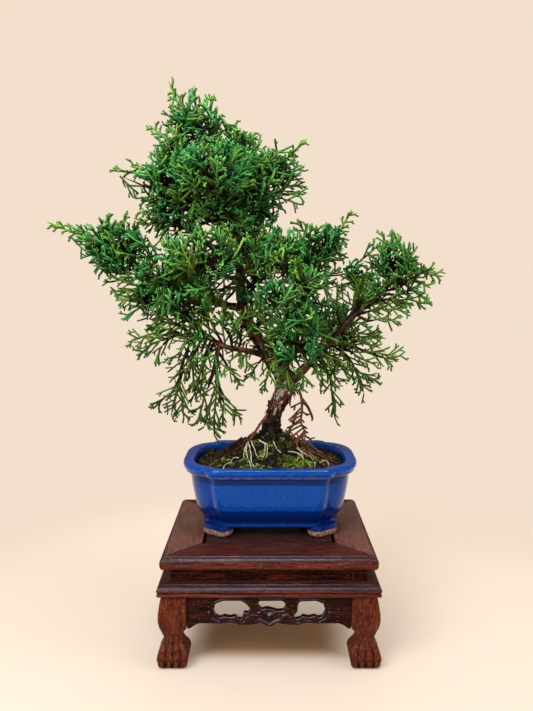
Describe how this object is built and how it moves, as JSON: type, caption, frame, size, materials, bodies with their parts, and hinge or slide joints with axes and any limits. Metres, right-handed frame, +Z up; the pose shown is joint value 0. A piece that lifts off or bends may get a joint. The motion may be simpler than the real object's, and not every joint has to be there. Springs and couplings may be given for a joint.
{
  "type": "kishu juniper bonsai",
  "caption": "Small juniper bonsai with scale-leaved foliage pads on a curved trunk, in a lobed glazed pot on a low wooden stand with pierced aprons.",
  "frame": {"origin": "bottom centre of the whole part's box, on the plane that the stand's feet rest on", "axes": "+Z up, -Y towards the viewer of the tree's front, +X to the viewer's right"},
  "size_m": [0.262, 0.1352, 0.3719],
  "materials": {
    "rosewood": "dark rosewood with a thin satin finish",
    "glaze": "glossy cobalt blue glaze",
    "screen": "matte black plastic mesh",
    "soil": "damp granular soil with moss",
    "bark": "rough flaking reddish-brown bark",
    "foliage": "satin scale leaves, mid green with bright tips"
  },
  "bodies": {
    "root": {"stand_top_rail_front": "rosewood", "stand_top_rail_right": "rosewood", "stand_top_rail_back": "rosewood", "stand_top_rail_left": "rosewood", "stand_panel": "rosewood", "stand_waist_front": "rosewood", "stand_waist_right": "rosewood", "stand_waist_back": "rosewood", "stand_waist_left": "rosewood", "stand_moulding_front": "rosewood", "stand_moulding_right": "rosewood", "stand_moulding_back": "rosewood", "stand_moulding_left": "rosewood", "stand_leg_front_left": "rosewood", "stand_leg_front_right": "rosewood", "stand_leg_back_left": "rosewood", "stand_leg_back_right": "rosewood", "stand_apron_front": "rosewood", "stand_apron_right": "rosewood", "stand_apron_back": "rosewood", "stand_apron_left": "rosewood", "pot": "glaze", "drain_screen_left": "screen", "drain_screen_right": "screen", "trunk_and_branches": "bark", "soil": "soil", "foliage_crown_top": "foliage", "foliage_crown_left": "foliage", "foliage_crown_right": "foliage", "foliage_crown_far_right": "foliage", "foliage_crown_low_left": "foliage", "foliage_crown_front": "foliage", "foliage_crown_inner": "foliage", "foliage_left": "foliage", "foliage_front_left": "foliage", "foliage_left_low": "foliage", "foliage_lower_left_upper": "foliage", "foliage_lower_left_outer": "foliage", "foliage_lower_left_hanging": "foliage", "foliage_hanging": "foliage", "foliage_mid_right": "foliage", "foliage_mid_front": "foliage", "foliage_front_right": "foliage", "foliage_far_right": "foliage", "foliage_mid_far_right": "foliage", "foliage_lower_right": "foliage", "foliage_low_front": "foliage", "foliage_back_high": "foliage", "foliage_back_mid": "foliage", "foliage_back_left": "foliage", "foliage_back_right": "foliage"}
  },
  "joints": []
}
